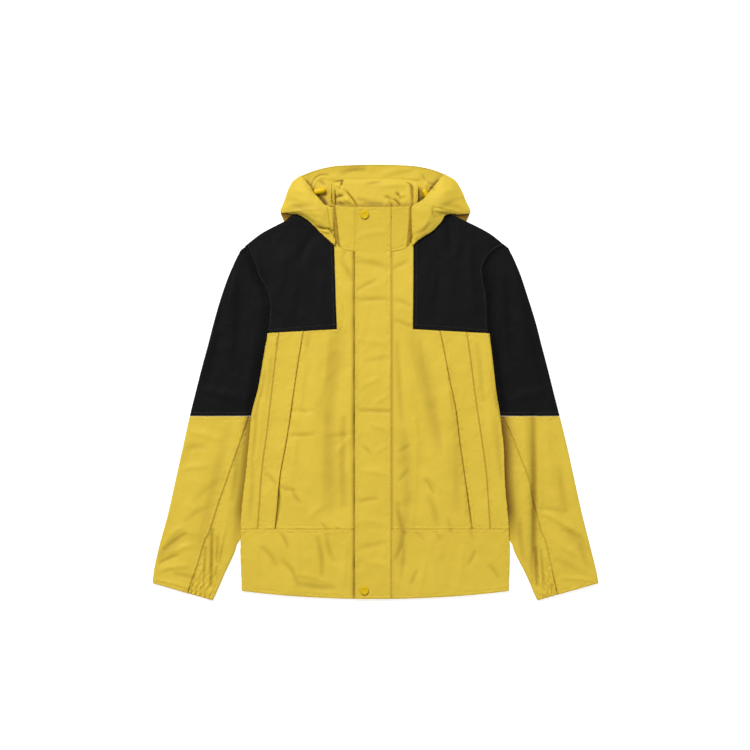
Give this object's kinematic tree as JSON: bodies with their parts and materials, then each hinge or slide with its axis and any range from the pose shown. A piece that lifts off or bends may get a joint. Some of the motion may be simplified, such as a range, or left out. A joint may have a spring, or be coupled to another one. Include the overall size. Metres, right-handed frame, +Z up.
{
  "type": "hooded rain jacket",
  "caption": "Colour-block hooded shell jacket laid flat on its back, closed at the front under a snap-down storm flap, with slanted pockets, a stand collar and a spread hood.",
  "frame": {"origin": "centre of the bounding box at its lowest plane, the surface that the jacket lies on", "axes": "+Z up out of the jacket's front, +Y from the hem to the hood, +X to the right of a viewer who looks at the front (the wearer's left)"},
  "size_m": [0.804, 0.7848, 0.0255],
  "materials": {
    "yellow_cloth": "matt coated shell cloth",
    "black_cloth": "matt coated shell cloth",
    "snap_enamel": "glossy yellow enamel",
    "toggle_plastic": "smooth yellow plastic"
  },
  "bodies": {
    "root": {"back_body": "yellow_cloth", "front_l": "yellow_cloth", "front_r": "yellow_cloth", "pocket_band_l": "yellow_cloth", "pocket_band_r": "yellow_cloth", "side_panel_l": "yellow_cloth", "side_panel_r": "yellow_cloth", "hem_panel_l": "yellow_cloth", "hem_panel_r": "yellow_cloth", "storm_flap": "yellow_cloth", "sleeve_outer_l": "yellow_cloth", "sleeve_outer_r": "yellow_cloth", "sleeve_inner_l": "yellow_cloth", "sleeve_inner_r": "yellow_cloth", "collar_front_l": "yellow_cloth", "collar_front_r": "yellow_cloth", "collar_back": "yellow_cloth", "hood_back": "yellow_cloth", "hood_side_l": "yellow_cloth", "hood_side_r": "yellow_cloth", "back_yoke": "black_cloth", "front_yoke_l": "black_cloth", "front_yoke_r": "black_cloth", "sleeve_upper_l": "black_cloth", "sleeve_upper_r": "black_cloth", "snap_top": "snap_enamel", "snap_bottom": "snap_enamel", "cord_toggle_l": "toggle_plastic", "cord_toggle_r": "toggle_plastic"}
  },
  "joints": []
}
